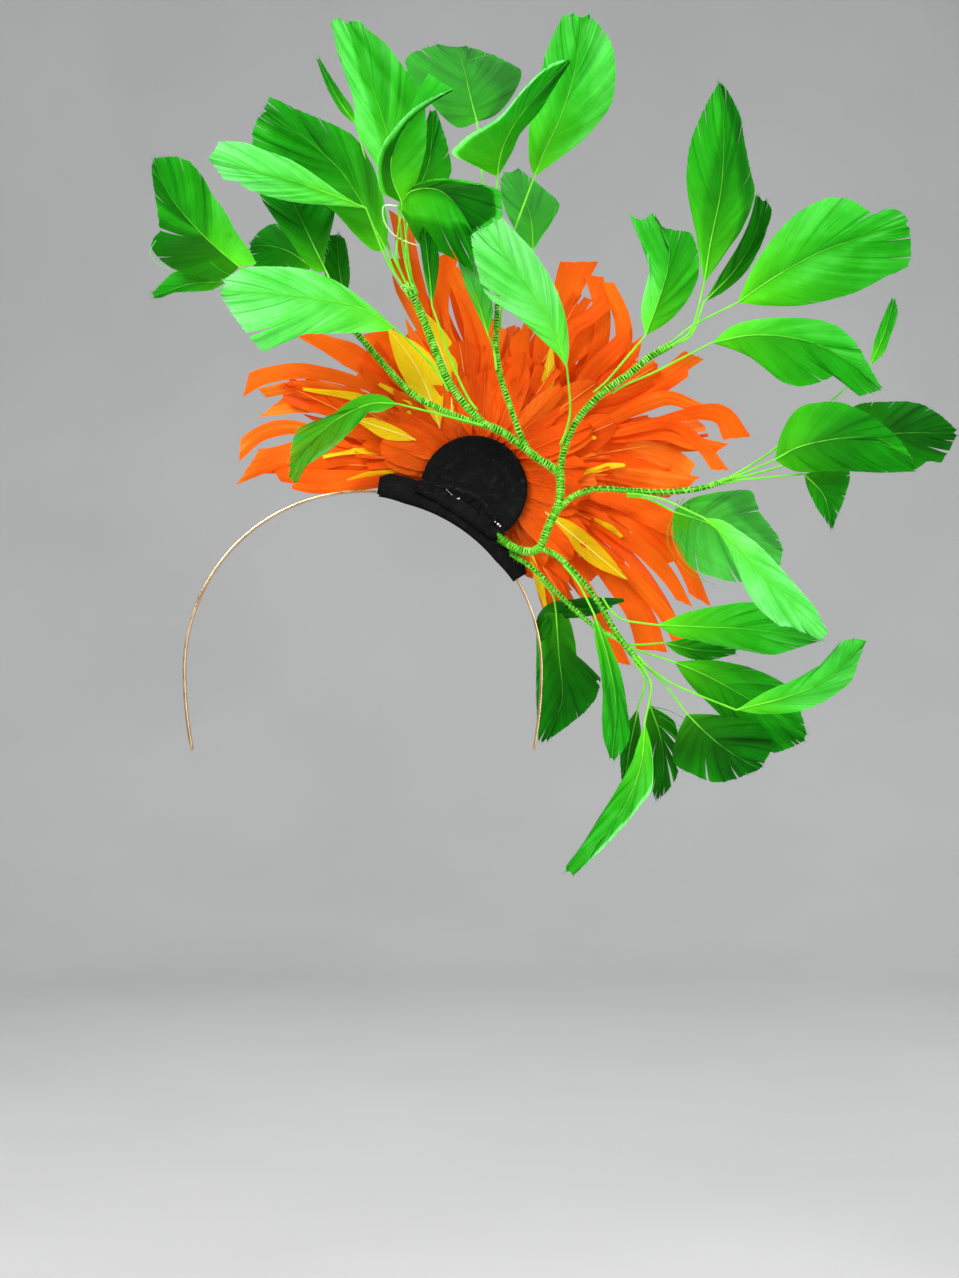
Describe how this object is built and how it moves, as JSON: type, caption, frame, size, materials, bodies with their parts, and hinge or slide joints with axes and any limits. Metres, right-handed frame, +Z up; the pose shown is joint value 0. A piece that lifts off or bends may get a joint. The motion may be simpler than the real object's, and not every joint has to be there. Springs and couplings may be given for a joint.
{
  "type": "feather fascinator",
  "caption": "Headband fascinator with a cut-feather flower on an upright felt plate and wired sprays of leaf-shaped feathers fanning out behind it.",
  "frame": {"origin": "the point of the wearer's crown under the middle of the felt saddle", "axes": "+Z up, +Y the way the wearer faces, +X to the wearer's right; the picture looks along +Y"},
  "size_m": [0.3601, 0.1529, 0.3814],
  "materials": {
    "gold_band": "thin polished gold-coloured metal band",
    "black_felt": "matte black wool felt",
    "green_thread": "green sewing thread wrapped round wire",
    "green_feather": "dyed goose feather, satin barbs",
    "orange_feather": "dyed cut goose feather, satin barbs",
    "yellow_feather": "dyed goose feather, satin barbs"
  },
  "bodies": {
    "root": {"headband": "gold_band", "felt_strip": "black_felt", "felt_disc": "black_felt", "felt_patch": "black_felt", "wrapped_stems": "green_thread", "wrapped_stem_lower": "green_thread", "orange_feather_burst": "orange_feather", "green_feather_01": "green_feather", "green_feather_02": "green_feather", "green_feather_03": "green_feather", "green_feather_04": "green_feather", "green_feather_05": "green_feather", "green_feather_06": "green_feather", "green_feather_07": "green_feather", "green_feather_08": "green_feather", "green_feather_09": "green_feather", "green_feather_10": "green_feather", "green_feather_11": "green_feather", "green_feather_12": "green_feather", "green_feather_13": "green_feather", "green_feather_14": "green_feather", "green_feather_15": "green_feather", "green_feather_16": "green_feather", "green_feather_17": "green_feather", "green_feather_18": "green_feather", "green_feather_19": "green_feather", "green_feather_20": "green_feather", "green_feather_21": "green_feather", "green_feather_22": "green_feather", "green_feather_23": "green_feather", "green_feather_24": "green_feather", "green_feather_25": "green_feather", "green_feather_26": "green_feather", "green_feather_27": "green_feather", "green_feather_28": "green_feather", "green_feather_29": "green_feather", "green_feather_30": "green_feather", "green_feather_31": "green_feather", "green_feather_32": "green_feather", "green_feather_33": "green_feather", "green_feather_34": "green_feather", "green_feather_35": "green_feather", "green_feather_36": "green_feather", "green_feather_37": "green_feather", "green_feather_38": "green_feather", "green_feather_39": "green_feather", "green_feather_40": "green_feather", "green_feather_41": "green_feather", "green_feather_42": "green_feather", "yellow_feather_01": "yellow_feather", "yellow_feather_02": "yellow_feather", "yellow_feather_03": "yellow_feather", "yellow_feather_04": "yellow_feather", "yellow_feather_05": "yellow_feather"}
  },
  "joints": []
}
